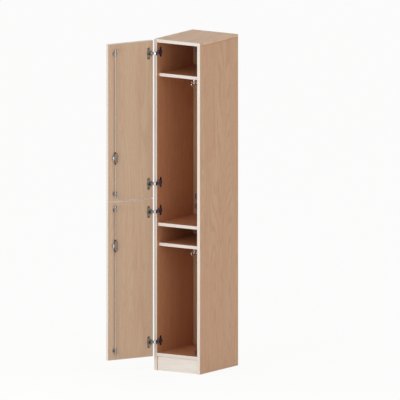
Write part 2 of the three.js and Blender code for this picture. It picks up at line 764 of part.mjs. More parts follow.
function addDoor(name, doorBottom, doorTop, lockAt, topInset, bottomInset, hingeNames) {
  const doorHeight = doorTop - doorBottom;
  const door = new THREE.Group();
  door.position.set(openCorner.x, openCorner.y, doorBottom);
  door.rotation.z = -openAngle;
  unit.add(door);

  const hingeHeights = [doorHeight - hingeFromDoorTop, hingeFromDoorBottom];
  const lockHeight = lockAt - doorBottom;
  const panel = doorPanel(doorHeight, hingeHeights, lockHeight);
  place(door, name + "_door_panel", panel, beech);
  place(door, name + "_door_edging", doorBand(doorHeight), cream);
  hingeHeights.forEach((z, i) => {
    place(door, hingeNames[i] + "_cup", parts.cup, lockNickel, 0, 0, z);
    addHinge(hingeNames[i], z + doorBottom);
  });

  const rodX = doorWidth - rodFromFreeEdge;
  place(door, name + "_lock_case", parts.lockCase, lockNickel, rodX, 0, lockHeight);
  const plugX = doorWidth - hubFromFreeEdge;
  place(door, name + "_key_plug", parts.plug, chrome, plugX, -board - neckProud, lockHeight);

  const half = rodGapInCase / 2;
  const upLength = doorHeight - topInset - lockHeight - half;
  const downLength = lockHeight - bottomInset - half;
  const upRod = lockRod(upLength);
  place(door, name + "_door_upper_rod", upRod, rodSteel, rodX, rodStandoff, lockHeight + half);
  const downRod = flipped(lockRod(downLength).scale(1, 1, -1));
  place(door, name + "_door_lower_rod", downRod, rodSteel, rodX, rodStandoff, lockHeight - half);

  const guideTop = doorHeight - topInset - hookHeight - guideGap - guideHeight;
  const guideLow = bottomInset + hookHeight + guideGap;
  place(door, name + "_door_top_guide", parts.guide, lockNickel, rodX, 0, guideTop);
  place(door, name + "_door_bottom_guide", parts.guide, lockNickel, rodX, 0, guideLow);

  const strikeY = rodStandoff - doorStandoff;
  const strikeTop = doorTop - topInset - hookHeight / 2;
  const strikeLow = doorBottom + bottomInset + hookHeight / 2;
  place(unit, name + "_door_top_strike", strike(), lockNickel, width - board, strikeY, strikeTop);
  place(unit, name + "_door_bottom_strike", strike(), lockNickel, width - board, strikeY, strikeLow);
}

addCarcass();
addCoatHooks();
["upper", "lower"].forEach((name, i) => {
  const hingeNames = ["upper", "lower"].map((end) => name + "_door_" + end + "_hinge");
  addDoor(name, doorBottoms[i], doorTops[i], lockHeights[i], rodTopInsets[i], rodBottomInsets[i], hingeNames);
});

export default root;
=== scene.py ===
"""Looks for the two-door locker: beech laminate boards with cream edging, plated hinges,
rod locks and coat hooks. All lengths are metres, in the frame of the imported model."""

import json
import math

import bmesh
import bpy
from mathutils import Matrix, Vector


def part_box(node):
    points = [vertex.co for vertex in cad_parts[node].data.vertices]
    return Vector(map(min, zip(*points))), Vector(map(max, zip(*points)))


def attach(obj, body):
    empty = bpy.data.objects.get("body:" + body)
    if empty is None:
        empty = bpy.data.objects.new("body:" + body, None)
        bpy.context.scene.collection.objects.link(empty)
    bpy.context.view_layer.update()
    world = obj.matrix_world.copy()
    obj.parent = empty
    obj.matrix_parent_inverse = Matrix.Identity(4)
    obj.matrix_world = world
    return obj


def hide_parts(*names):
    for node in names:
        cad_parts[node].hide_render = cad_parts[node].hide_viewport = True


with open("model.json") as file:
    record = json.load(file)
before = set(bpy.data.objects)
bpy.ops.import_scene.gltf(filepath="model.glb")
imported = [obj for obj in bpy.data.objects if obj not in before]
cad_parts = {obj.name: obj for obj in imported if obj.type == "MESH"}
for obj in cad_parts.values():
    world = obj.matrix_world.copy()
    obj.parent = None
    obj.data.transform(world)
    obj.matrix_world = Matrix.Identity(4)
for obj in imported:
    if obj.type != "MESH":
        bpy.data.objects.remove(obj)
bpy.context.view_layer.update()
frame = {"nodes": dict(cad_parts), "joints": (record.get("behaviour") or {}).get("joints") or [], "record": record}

MM = 0.001
NODES = frame["nodes"]
JOINTS = {joint["name"]: joint for joint in frame["joints"]}
BODY_OF = {
    node: body
    for body, members in frame["record"]["behaviour"]["bodies"].items()
    for node in members
}
SLOT_OF = {part["node"]: part["material_slot"] for part in frame["record"]["subparts"]}
DOORS = ("upper", "lower")
HINGES = [door + "_door_" + end + "_hinge" for door in DOORS for end in ("upper", "lower")]

# The photograph is a parallel view. Its scale and angles were fitted to the unit's corners.
PHOTO_SIDE = 400
PIXELS_PER_MM = 0.1814
VIEW_AZIMUTH = math.radians(32.83)
VIEW_ELEVATION = math.radians(9.22)
# The pixel where the unit's front left corner meets the floor
CORNER_PIXEL = (154.1, 370.07)
CAMERA_DISTANCE = 6.0

# Rounding on the edges of small metal pieces, of cut boards and of the doors' edging
PLATED_EDGE = 0.25 * MM
BOARD_EDGE = 0.8 * MM
EDGING_ROUND = 1.5 * MM
# Edges that turn by more than these angles stay sharp in the shading, and the bevels round the
# ones past the first
SHARP_ANGLE = math.radians(32)
HUB_SHARP_ANGLE = math.radians(40)
CAST_SHARP_ANGLE = math.radians(50)
# Corners of a CAD piece this close are one, and so are faces that turn by less than the angle
WELD = 0.002 * MM
LEVEL_ANGLE = math.radians(1)
# A corner of a door's edging this close to the door's outline lies on it
ON_OUTLINE = 0.1 * MM

# Boards and doors, with sizes that the model's source also names
OPEN_ANGLE = math.radians(115)
SIDE_INNER_FACE = 132 * MM
TOP_UNDERSIDE = 1832 * MM
DOOR_CLOSED_CORNER = Vector((-147 * MM, -19 * MM, 0))
DOOR_WIDTH = 294 * MM
# How far past an inner face a point still counts as inside the carcass
INSIDE_MARGIN = 0.5 * MM
# The joint of the top with the sides. The real line is under half a millimetre; it is drawn
# wider so that it shows at all
GLUE_LINE = 3 * MM

# A hinge's cup, measured from the door's hinge edge and out from the door's inner face
CUP_FROM_EDGE = 22.5 * MM
CUP_RADIUS = 17.4 * MM
CUP_RIM = 1.2 * MM
CUP_FLOOR = -11.9 * MM
CUP_SIDES = 48
CUP_PIN_FROM_EDGE = 14 * MM
CUP_PIN_DEPTH = -5 * MM
CUP_PIN_RADIUS = 1.2 * MM
CUP_PIN_SIDES = 20
# How far the pin runs into the pocket's walls
CUP_PIN_BITE = 0.6 * MM
POCKET_RADIUS = 16 * MM
POCKET_HALF = 8 * MM
POCKET_FLOOR = -10.8 * MM
# The form that cuts the pocket stands this far out of the door
POCKET_CUT_TOP = 4 * MM
FLANGE_HALF = Vector((9.2 * MM, 0, 33.5 * MM))
FLANGE_CORNER = 6 * MM
FLANGE_UNDERSIDE = 0.1 * MM
FLANGE_TOP = 1.3 * MM
# The cups' flanges and screws lie this much further from the door's edge than the cups
FLANGE_SHIFT = 7 * MM

# The head of a cup link, near-black as painted shade, and its polished bridge, as distances from the outer pin
LINK_HEAD = 8.2 * MM
LINK_BRIDGE = 13.5 * MM
# What covers a cup link, seen from above: millimetres along and across the line from pin to pin,
# and the heights between which each form runs. A web closes the front between the cheeks, and a
# bright bridge laps over the head. Behind them is the room that the arm link folds into.
LINK_WEB = [(8.1, -7.1), (26, -4.4), (26, -3.3), (8.3, -5.9)]
BRIDGE_FRONT = [
    (20.5, -5.5), (24, -4.9), (26, -5.5), (28.8, -5.7), (28.8, -4.6), (25.6, -4.4), (20.5, -5)
]
BRIDGE_END = [(20.5, 1), (20.5, -2.6), (22.4, -4), (25.6, -5.5), (28.8, -5.7), (28.8, 1)]
LINK_COVERS = [
    (LINK_WEB, -5.6, 5.6),
    (BRIDGE_FRONT, -5.6, 5.6),
    (BRIDGE_END, -10, -5.5),
    (BRIDGE_END, 5.5, 10),
]

# The locks, measured from the door's free edge. The hub's cover is given as heights over its
# foot and radii, in millimetres
LOCK_CASE_HALF = 27.6 * MM
ROD_FROM_FREE_EDGE = 44 * MM
HUB_FROM_FREE_EDGE = 38 * MM
HUB_TOP = 7 * MM
HUB_HIDDEN = 1.5 * MM
HUB_SIDES = 40
HUB_PROFILE = [
    (-0.4, 11.8), (0.5, 12), (0.8, 11.6), (0.9, 10.5), (0.7, 10), (1, 9.4), (1.3, 5.6), (1.4, 0.8)
]

# The coat hooks. The foot is given as depths under the shelf and radii, in millimetres, and the
# knob as depths under the end of the stem and radii
COAT_STEM = 50 * MM
COAT_DROP = 13 * MM
COAT_REACH = 26 * MM
COAT_FOOT = 3 * MM
COAT_FOOT_PROFILE = [
    (0, 12.6), (0.3, 13), (1.6, 13), (2.5, 12.5), (3, 11.4), (3.4, 7), (4.6, 4.6), (7, 3.7),
    (12, 3.4),
]
COAT_KNOB_PROFILE = [(-8, 3.4), (-3, 4), (0, 4.8), (3.5, 4.6), (6, 3.2), (7, 1.2)]
# A prong's tip, out from the stem and up from its end, and how far the curve to it is drawn out
PRONG_OUT = 21 * MM
PRONG_UP = 9 * MM
PRONG_PULL = 1.5
PRONG_SAG = 1.3
PRONG_RADIUS = 3.3 * MM
PRONG_TAPER = 0.8 * MM
PRONG_STEPS = 22
PRONG_SIDES = 20
PRONG_BALL = 4.2 * MM
BALL_STEPS = 10
BALL_SIDES = 24
BALL_LATITUDE = 88

# The screws: how far they lie from the middle of what they hold, and the face they sit on
CUP_SCREW_REACH = 26 * MM
PLATE_SCREW_REACH = 16 * MM
PLATE_WING_RADIUS = 7 * MM
WING_TOP = 2.5 * MM
ARM_TOP = 12 * MM
GUIDE_SCREW_REACH = 9.6 * MM
GUIDE_FLANGE_TOP = 2.2 * MM
STRIKE_SCREW_REACH = 15.2 * MM
STRIKE_BASE_TOP = 2 * MM
COAT_SCREW_REACH = 9.6 * MM
COAT_SCREW_TURNS = (90, 210, 330)
# An arm's screws, as depths behind the front edge and sizes
ARM_SCREWS = ((16 * MM, 0.8), (30 * MM, 1.0))
# The size of each other kind of head, where 1 is a radius of 3.6 mm
SCREW_SIZE = {"plate": 1.05, "strike": 0.85, "coat_hook": 0.6, "cup": 0.95, "guide": 0.7}

# The beech print: how wide across the grain and how long along it each of its marks is
BEECH_BANDS = (34 * MM, 700 * MM)
BEECH_GROWTH = (95 * MM, 1500 * MM)
BEECH_STREAKS = (2.4 * MM, 190 * MM)
BEECH_PALE_LINES = (3.5 * MM, 60 * MM)
BEECH_FLECKS = (1.4 * MM, 9 * MM)
BEECH_RINGS = 150.0
# The grain wanders this far to each side, over about this length of a board
GRAIN_DRIFT = 14 * MM
GRAIN_DRIFT_LENGTH = 260 * MM
# The size of the pits in the edging's skin, and of the clouds in the plating
EDGING_PEEL = 2.5 * MM
PLATE_CLOUD = 9 * MM

# Each lamp's place, width in metres and power in watts
LAMPS = {
    "key": ((-0.6, -4.0, 1.6), 1.6, 48),
    "fill": ((3.5, -2.0, 2.0), 4.0, 25),
}
LAMP_TARGET = (0, 0, 1.0)
SURROUND_LIGHT = 0.74
# The seen surround darkens from white to the ceiling's light between these heights, out of 1
CEILING_START = 0.4
CEILING_END = 0.85
CEILING_LIGHT = 0.1
FLOOR_HALF = 12.0
FLOOR_GLOW = 0.9


def linear(hex_colour):
    """An sRGB hex value as the linear colour that a socket takes."""
    channels = [int(hex_colour[i : i + 2], 16) / 255 for i in (1, 3, 5)]
    low = [c / 12.92 if c <= 0.04045 else ((c + 0.055) / 1.055) ** 2.4 for c in channels]
    return (*low, 1.0)


def add(tree, kind, inputs=None, **settings):
    """Adds one node with its settings, and its inputs as values or as sockets to link from."""
    node = tree.nodes.new(kind)
    for name, value in settings.items():
        setattr(node, name, value)
    for name, value in (inputs or {}).items():
        if isinstance(value, bpy.types.NodeSocket):
            tree.links.new(value, node.inputs[name])
        else:
            node.inputs[name].default_value = value
    return node


def new_material(name):
    """An empty material with its output node, ready for a shader."""
    material = bpy.data.materials.new(name)
    material.use_nodes = True
    material.node_tree.nodes.clear()
    output = material.node_tree.nodes.new("ShaderNodeOutputMaterial")
    return material, material.node_tree, output


def stops(node, colours):
    """Sets a colour ramp's stops from (place, hex colour) pairs."""
    ramp = node.color_ramp
    while len(ramp.elements) < len(colours):
        ramp.elements.new(0.5)
    for element, (place, colour) in zip(ramp.elements, colours):
        element.position = place
        element.color = linear(colour)


def calc(tree, operation, *values):
    """One step of arithmetic, on sockets or plain numbers."""
    node = add(tree, "ShaderNodeMath", dict(enumerate(values)), operation=operation)
    return node.outputs[0]


def finish_shader(tree, output, inputs):
    """The surface shader of a material."""
    shader = add(tree, "ShaderNodeBsdfPrincipled", inputs)
    tree.links.new(shader.outputs["BSDF"], output.inputs["Surface"])


def streaks(tree, place, across, along, grain, detail=3.0, rough=0.55):
    """Noise drawn out along the grain: as wide as across and as long as along, in metres."""
    scale = [1 / (along if axis == grain else across) for axis in "xyz"]
    mapping = add(tree, "ShaderNodeMapping", {"Vector": place, "Scale": scale})
    noise = add(
        tree,
        "ShaderNodeTexNoise",
        {"Vector": mapping.outputs["Vector"], "Scale": 1.0, "Detail": detail, "Roughness": rough},
    )
    return noise.outputs["Fac"]


def ranged(tree, value, low, high, to_low=0.0, to_high=1.0):
    """Maps a value from one range to another and holds it there."""
    node = add(
        tree,
        "ShaderNodeMapRange",
        {"Value": value, "From Min": low, "From Max": high, "To Min": to_low, "To Max": to_high},
    )
    return node.outputs["Result"]


def blend(tree, factor, first, second, kind="MIX"):
    """Blends two colours, each a socket or a linear colour. The node has sockets of one name for
    numbers, vectors and colours, so they are reached by number: 0 the share, 6 and 7 the colours.
    """
    node = add(
        tree,
        "ShaderNodeMix",
        {0: factor, 6: first, 7: second},
        data_type="RGBA",
        blend_type=kind,
    )
    return node.outputs[2]


def inside_carcass(tree, place):
    """1 on every face that looks into the compartments, 0 on the unit's outer faces."""
    parts = add(tree, "ShaderNodeSeparateXYZ", {"Vector": place}).outputs
    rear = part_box("back_panel")[0].y + INSIDE_MARGIN
    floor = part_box("base_panel")[0].z + INSIDE_MARGIN
    sideways = calc(tree, "ABSOLUTE", parts["X"])
    within = calc(tree, "LESS_THAN", sideways, SIDE_INNER_FACE + INSIDE_MARGIN)
    for test in (
        calc(tree, "LESS_THAN", parts["Z"], TOP_UNDERSIDE + INSIDE_MARGIN),
        calc(tree, "LESS_THAN", parts["Y"], rear),
        calc(tree, "GREATER_THAN", parts["Z"], floor),
    ):
        within = calc(tree, "MULTIPLY", within, test)
    return within


def glue_line(tree, place):
    """1 in a thin band above the joint of the top panel with the sides, 0 on the rest of it."""
    parts = add(tree, "ShaderNodeSeparateXYZ", {"Vector": place}).outputs
    return calc(tree, "LESS_THAN", parts["Z"], TOP_UNDERSIDE + GLUE_LINE)


def beech_laminate(name, grain, tone, figure=1.0, inside=None, joint=False):
    """Printed beech on melamine paper, pressed to a fine matt pore. Broad pink and straw bands,
    faint flame-shaped rings, thin streaks and the short brown ray flecks that mark beech. The
    flecks and streaks are drawn coarser than real ones, which would be too fine to show."""
    material, tree, output = new_material(name)
    place = add(tree, "ShaderNodeTexCoord").outputs["Object"]
    drift = add(
        tree,
        "ShaderNodeTexNoise",
        {"Vector": place, "Scale": 1 / GRAIN_DRIFT_LENGTH, "Detail": 1.0},
    )
    shift = add(
        tree,
        "ShaderNodeVectorMath",
        {0: drift.outputs["Color"], 1: (GRAIN_DRIFT, GRAIN_DRIFT, GRAIN_DRIFT), 2: place},
        operation="MULTIPLY_ADD",
    )
    wandering = shift.outputs["Vector"]
    bands = streaks(tree, wandering, *BEECH_BANDS, grain, detail=2.0)
    ramp = add(tree, "ShaderNodeValToRGB", {"Fac": bands})
    stops(ramp, [(0.34, tone["pink"]), (0.5, tone["middle"]), (0.66, tone["straw"])])
    # Contour lines of a long, slow noise make the flames of a flat-sawn board
    growth = streaks(tree, wandering, *BEECH_GROWTH, grain, detail=0.0)
    wave = calc(tree, "SINE", calc(tree, "MULTIPLY", growth, BEECH_RINGS))
    ring_share = ranged(tree, wave, 0.1, 1.0, 0.0, 0.4 * figure)
    ringed = blend(tree, ring_share, ramp.outputs["Color"], linear(tone["streak"]))
    fine = streaks(tree, wandering, *BEECH_STREAKS, grain, detail=4.0)
    dark = ranged(tree, fine, 0.5, 0.72, 0.0, 0.6 * figure)
    streaked = blend(tree, dark, ringed, linear(tone["streak"]))
    pale_lines = streaks(tree, wandering, *BEECH_PALE_LINES, grain, detail=2.0)
    pale = ranged(tree, pale_lines, 0.56, 0.72, 0.0, 0.5 * figure)
    lined = blend(tree, pale, streaked, linear(tone["pale"]))
    specks = streaks(tree, wandering, *BEECH_FLECKS, grain, detail=1.0)
    speck_share = ranged(tree, specks, 0.62, 0.72, 0.0, 0.5 * figure)
    colour = blend(tree, speck_share, lined, linear(tone["fleck"]))
    if inside:
        # Painted shade: inside the compartments the print is multiplied darker and redder, as it looks in shade.
        # The print there has also kept more of its red-brown colour, away from daylight.
        colour = blend(tree, inside_carcass(tree, place), colour, linear(inside), "MULTIPLY")
    if joint:
        colour = blend(tree, glue_line(tree, place), colour, linear(GLUE_TINT), "MULTIPLY")
    pore = add(tree, "ShaderNodeBump", {"Height": fine, "Strength": 0.1, "Distance": 0.15 * MM})
    finish_shader(
        tree,
        output,
        {
            "Base Color": colour,
            "Roughness": ranged(tree, fine, 0.3, 0.7, 0.44, 0.58),
            "IOR": 1.5,
            "Normal": pore.outputs["Normal"],
        },
    )
    return material


def cream_plastic(name, colour, shade, grain, across, along):
    """Cream ABS edging or laminate, buffed after trimming: satin, with a faint drag along it and
    a fine orange-peel skin."""
    material, tree, output = new_material(name)
    place = add(tree, "ShaderNodeTexCoord").outputs["Object"]
    drag = streaks(tree, place, across, along, grain, detail=3.0)
    ramp = add(tree, "ShaderNodeValToRGB", {"Fac": drag})
    stops(ramp, [(0.35, shade), (0.62, colour)])
    peel = add(
        tree, "ShaderNodeTexNoise", {"Vector": place, "Scale": 1 / EDGING_PEEL, "Detail": 2.0}
    )
    bump = add(
        tree,
        "ShaderNodeBump",
        {"Height": peel.outputs["Fac"], "Strength": 0.06, "Distance": 0.1 * MM},
    )
    finish_shader(
        tree,
        output,
        {
            "Base Color": ramp.outputs["Color"],
            "Roughness": ranged(tree, drag, 0.3, 0.7, 0.38, 0.5),
            "IOR": 1.53,
            "Normal": bump.outputs["Normal"],
        },
    )
    return material


def plated_metal(name, colour, worn, low, high, grit):
    """Plated metal: a coat that follows the casting or stamping under it, so the gloss clouds a
    little, between a low and a high roughness, and the colour changes where the plate is thin."""
    material, tree, output = new_material(name)
    place = add(tree, "ShaderNodeTexCoord").outputs["Object"]
    cloud = add(
        tree, "ShaderNodeTexNoise", {"Vector": place, "Scale": 1 / PLATE_CLOUD, "Detail": 3.0}
    )
    grain = add(tree, "ShaderNodeTexNoise", {"Vector": place, "Scale": 1 / grit, "Detail": 2.0})
    ramp = add(tree, "ShaderNodeValToRGB", {"Fac": cloud.outputs["Fac"]})
    stops(ramp, [(0.38, worn), (0.58, colour)])
    bump = add(
        tree,
        "ShaderNodeBump",
        {"Height": grain.outputs["Fac"], "Strength": 0.05, "Distance": 0.05 * MM},
    )
    finish_shader(
        tree,
        output,
        {
            "Base Color": ramp.outputs["Color"],
            "Metallic": 1.0,
            "Roughness": ranged(tree, cloud.outputs["Fac"], 0.3, 0.7, low, high),
            "Normal": bump.outputs["Normal"],
        },
    )
    return material


DOOR_TONE = {
    "pink": "#c4a186",
    "middle": "#c5a78c",
    "straw": "#c7ac8e",
    "pale": "#cfb499",
    "streak": "#b99677",
    "fleck": "#9d7755",
}
CARCASS_TONE = {
    "pink": "#c49879",
    "middle": "#c59c7c",
    "straw": "#c7a17f",
    "pale": "#d3af8e",
    "streak": "#b18969",
    "fleck": "#936a4a",
}
# The same beech print, drawn lighter and paler on the top panel: painted sheen, for the light that a top face
# catches from above
TOP_SHEEN_TONE = {
    "pink": "#d6ab8b",
    "middle": "#d7b291",
    "straw": "#d9b694",
    "pale": "#e2c4a4",
    "streak": "#c29b7a",
    "fleck": "#a67c5a",
}
# Painted shade: faces inside the compartments are multiplied darker and redder, as they look in shade
INSIDE_SHADE_TINT = "#f8dac6"
# Painted shade, fainter and warm, on the back panel's face inside the compartments
BACK_SHADE_TINT = "#fff3e6"
GLUE_TINT = "#c8b4a6"
MATERIALS = {
    "door_beech": beech_laminate("beech_laminate_door", "z", DOOR_TONE, 0.9),
    "beech_up": beech_laminate("beech_laminate_upright", "z", CARCASS_TONE, 1.2, INSIDE_SHADE_TINT),
    "beech_level": beech_laminate("beech_laminate_level", "x", CARCASS_TONE, 1.0, INSIDE_SHADE_TINT),
    "beech_top": beech_laminate("beech_laminate_top", "y", TOP_SHEEN_TONE, 1.3, INSIDE_SHADE_TINT, joint=True),
    "back": beech_laminate("beech_print_back", "z", DOOR_TONE, 1.0, BACK_SHADE_TINT),
    # The upright edging is a little warmer than the level edging: painted warm bounce light, like that from the
    # open doors, over the plastic's cream
    "edging_up": cream_plastic("abs_edging_upright", "#e5dbd2", "#dcd0c5", "z", 6 * MM, 300 * MM),
    "edging_level": cream_plastic("abs_edging_level", "#e2dbd4", "#d9d0c7", "x", 6 * MM, 300 * MM),
    "plinth": cream_plastic("cream_laminate_plinth", "#eae4dd", "#e1d9cf", "x", 5 * MM, 160 * MM),
    "chrome": plated_metal("bright_chrome_plate", "#ececee", "#d6d5d4", 0.08, 0.18, 1.2 * MM),
    "hinge_nickel": plated_metal("satin_nickel_stamping", "#94887b", "#81766a", 0.28, 0.42, 0.9 * MM),
    # The lock cases' brown tint is partly a painted reflection of the wood around them, over grey nickel
    "lock_nickel": plated_metal("nickel_plated_casting", "#91806f", "#7e6e5f", 0.3, 0.44, 0.9 * MM),
    # The hub covers' blue tint is a painted reflection of a blue sky, over polished nickel
    "hub": plated_metal("polished_nickel_hub_painted_sky_blue", "#b9c4d6", "#a9b4c8", 0.14, 0.24, 1.2 * MM),
    # The hinge arms' blue tint is a painted reflection of a blue sky, over nickel
    "nickel_painted_sky_blue": plated_metal("nickel_arm_painted_sky_blue", "#8386b0", "#6b6d94", 0.24, 0.38, 0.9 * MM),
    # Black nickel on the hinge plates and the strikes. On the cup links' heads the same colour is painted shade
    "black_nickel_and_painted_shade": plated_metal("black_plating_and_painted_shade", "#3e4050", "#2c2d38", 0.24, 0.4, 0.9 * MM),
    "link_nickel": plated_metal("dark_nickel_link", "#857c74", "#6f6760", 0.24, 0.38, 0.9 * MM),
    "zinc": plated_metal("zinc_plated_rod", "#bcb5b0", "#afa7a2", 0.48, 0.6, 1.5 * MM),
    "guide_zinc": plated_metal("zinc_casting", "#a49e9a", "#8d8782", 0.3, 0.44, 0.8 * MM),
    "screw": plated_metal("burnished_screw_steel", "#4a4750", "#3a3840", 0.26, 0.4, 0.6 * MM),
}
METAL_SLOTS = ("chrome", "dark_nickel", "rod_steel", "lock_nickel")
PLATING = {
    "_plate": "black_nickel_and_painted_shade",
    "_arm": "nickel_painted_sky_blue",
    "_link": "link_nickel",
    "_lock_case": "lock_nickel",
    "_key_plug": "chrome",
    "_rod": "zinc",
    "_guide": "guide_zinc",
    "_strike": "black_nickel_and_painted_shade",
}


def finish_of(node):
    """The plating of a metal node, by the end of its name."""
    return next(finish for ending, finish in PLATING.items() if node.endswith(ending))


def dress(node, material):
    """Gives a CAD node that stays its finished material."""
    piece = NODES[node]
    piece.data.materials.clear()
    piece.data.materials.append(MATERIALS[material])


def dress_boards():
    """Gives every board and edging strip its finish, and rounds the ones that are trimmed."""
    for node in ("base_panel", "divider_panel", "upper_hat_shelf", "lower_hat_shelf", "plinth_rail"):
        dress(node, "beech_level")
    for node in ("upper_door_panel", "lower_door_panel"):
        dress(node, "door_beech")
    dress("back_panel", "back")
    dress("plinth_board", "plinth")
    for node in ("left_side_edging", "right_side_edging"):
        dress(node, "edging_up")
    for node in ("upper_door_edging", "lower_door_edging"):
        band = finished_copy(node, "edging_up", EDGING_ROUND)
        round_outer_edges(band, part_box(node))
    for node in ("top", "base", "divider", "upper_hat_shelf", "lower_hat_shelf"):
        dress(node + "_edging", "edging_level")
    finished_copy("left_side_panel", "beech_up", BOARD_EDGE)
    finished_copy("right_side_panel", "beech_up", BOARD_EDGE)
    finished_copy("top_panel", "beech_top", BOARD_EDGE)


def new_piece(name, mesh, material):
    """An object at the origin with one material."""
    piece = bpy.data.objects.new(name, mesh)
    bpy.context.scene.collection.objects.link(piece)
    mesh.materials.clear()
    mesh.materials.append(MATERIALS[material])
    return piece


def settle(piece, body, slot, *nodes):
    """Puts a piece on the body it rides on, and hides the CAD nodes that it stands for. The slot is not used."""
    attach(piece, body)
    if nodes:
        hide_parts(*nodes)


def finished_copy(node, material, edge, extra=None):
    """A copy of a CAD node with its facets joined, its edges rounded and its finish on. A form
    that another function adds becomes part of it."""
    mesh = NODES[node].data.copy()
    work = bmesh.new()
    work.from_mesh(mesh)
    bmesh.ops.remove_doubles(work, verts=work.verts, dist=WELD)
    bmesh.ops.dissolve_limit(work, angle_limit=LEVEL_ANGLE, verts=work.verts, edges=work.edges)
    if extra:
        extra(work, middle_height(node))
    work.to_mesh(mesh)
    work.free()
    smooth(mesh, SHARP_ANGLE)
    piece = new_piece(node + "_finished", mesh, material)
    soften_edges(piece, edge)
    settle(piece, BODY_OF[node], SLOT_OF[node], node)
    return piece


def smooth(mesh, sharp_angle):
    """Shades a mesh smooth, apart from the edges that turn by more than an angle."""
    mesh.shade_smooth()
    mesh.set_sharp_from_angle(angle=sharp_angle)


def soften_edges(piece, width):
    """The small rounding that stamping, casting and trimming leave, which catches the light."""
    bevel = piece.modifiers.new("edge", "BEVEL")
    bevel.width = width
    bevel.segments = 2
    bevel.limit_method = "ANGLE"
    bevel.angle_limit = SHARP_ANGLE
    bevel.harden_normals = True


def other_finish(piece, material, picks):
    """Gives the faces whose middle passes a test another finish."""
    piece.data.materials.append(MATERIALS[material])
    last = len(piece.data.materials) - 1
    for face in piece.data.polygons:
        if picks(face.center):
            face.material_index = last


def round_outer_edges(band, box):
    """Limits the rounding of a door's edging to its outer edges, where it is trimmed."""
    low, high = box
    to_door = door_frame().inverted()

    def outermost(vertex):
        x = (to_door @ vertex.co).x
        sideways = min(abs(x), abs(x - DOOR_WIDTH))
        upright = min(abs(vertex.co.z - low.z), abs(vertex.co.z - high.z))
        return min(sideways, upright) < ON_OUTLINE

    work = bmesh.new()
    work.from_mesh(band.data)
    weight = work.edges.layers.float.new("bevel_weight_edge")
    for edge in work.edges:
        outside = all(outermost(vertex) for vertex in edge.verts)
        if outside and edge.calc_face_angle(0) > SHARP_ANGLE:
            edge[weight] = 1
    work.to_mesh(band.data)
    work.free()
    band.modifiers["edge"].limit_method = "WEIGHT"


def dress_hardware():
    """Finishes the metal pieces, apart from the cups and coat hooks, which are modelled anew."""
    for node, slot in SLOT_OF.items():
        if slot not in METAL_SLOTS or node.endswith(("_coat_hook", "_hinge_cup")):
            continue
        is_cup_link = node.endswith("_cup_link")
        cover = link_cover if is_cup_link else None
        piece = finished_copy(node, finish_of(node), PLATED_EDGE, cover)
        if is_cup_link:
            # The bridge is polished. The rolled head over the outer pin gets the near-black finish: painted shade,
            # where the hinge lies in shade beside the bright bridge
            pin = outer_pin()
            other_finish(piece, "chrome", lambda spot: (spot.xy - pin).length < LINK_BRIDGE)
            other_finish(piece, "black_nickel_and_painted_shade", lambda spot: (spot.xy - pin).length < LINK_HEAD)
        if node.endswith("_lock_case"):
            # The collars that the rods slide in are darker, in the screws' steel
            height = middle_height(node)
            other_finish(piece, "screw", lambda spot: abs(spot.z - height) > LOCK_CASE_HALF)


def link_cover(work, height):
    """The web that closes a cup link's front between its cheeks, and the bridge at its head."""
    start = Vector(JOINTS["upper_cup_link_turn"]["pos_m"]).xy
    along = (outer_pin() - start).normalized()
    across = Vector((-along.y, along.x))
    for places, low, high in LINK_COVERS:
        plan = [start + (along * x + across * y) * MM for x, y in places]
        rings = [
            [work.verts.new((spot.x, spot.y, height + z * MM)) for spot in plan]
            for z in (low, high)
        ]
        skin(work, rings)
    bmesh.ops.recalc_face_normals(work, faces=work.faces)


def outer_pin():
    """Where a hinge's two links meet, seen from above: the last corner of their parallelogram."""
    swing, arm, cup = (
        Vector(JOINTS[name]["pos_m"]).xy
        for name in ("upper_door_swing", "upper_arm_link_turn", "upper_cup_link_turn")
    )
    return arm + cup - swing


def ring_of(work, centre, across, up, radius, sides):
    """One ring of vertices about a centre, in the plane of two directions."""
    turns = [2 * math.pi * i / sides for i in range(sides)]
    return [
        work.verts.new(centre + radius * (across * math.cos(t) + up * math.sin(t))) for t in turns
    ]


def skin(work, rings):
    """Faces between one ring and the next, and a lid on each end."""
    sides = len(rings[0])
    for first, second in zip(rings, rings[1:]):
        for i in range(sides):
            j = (i + 1) % sides
            work.faces.new((first[i], first[j], second[j], second[i]))
    work.faces.new(list(reversed(rings[0])))
    work.faces.new(rings[-1])


def turned(work, centre, axis, across, profile, sides=32):
    """A turned form: rings of the given (height, radius) pairs along an axis."""
    up = axis.cross(across)
    skin(work, [ring_of(work, centre + axis * h, across, up, r, sides) for h, r in profile])


def in_metres(pairs, start=0):
    """Heights and radii given in millimetres, with the heights counted from a start in metres."""
    return [(start + height * MM, radius * MM) for height, radius in pairs]


def ball(radius):
    """Heights and radii of a ball, from near one pole to near the other."""
    latitudes = [
        math.radians(-BALL_LATITUDE + 2 * BALL_LATITUDE * i / BALL_STEPS)
        for i in range(BALL_STEPS + 1)
    ]
    return [(radius * math.sin(a), radius * math.cos(a)) for a in latitudes]


def curve_point(handles, t):
    """The point at a share of the way along a Bezier curve with four handles."""
    first, second, third, fourth = handles
    rest = 1 - t
    return rest**3 * first + 3 * t * rest**2 * second + 3 * t * t * rest * third + t**3 * fourth


def curve_heading(handles, t):
    """The direction in which the curve runs there."""
    first, second, third, fourth = handles
    rest = 1 - t
    return (
        3 * rest**2 * (second - first)
        + 6 * t * rest * (third - second)
        + 3 * t * t * (fourth - third)
    ).normalized()


def mesh_of(work, name):
    """A new mesh with the closed forms in a bmesh, all facing out."""
    bmesh.ops.recalc_face_normals(work, faces=work.faces)
    mesh = bpy.data.meshes.new(name)
    work.to_mesh(mesh)
    work.free()
    return mesh


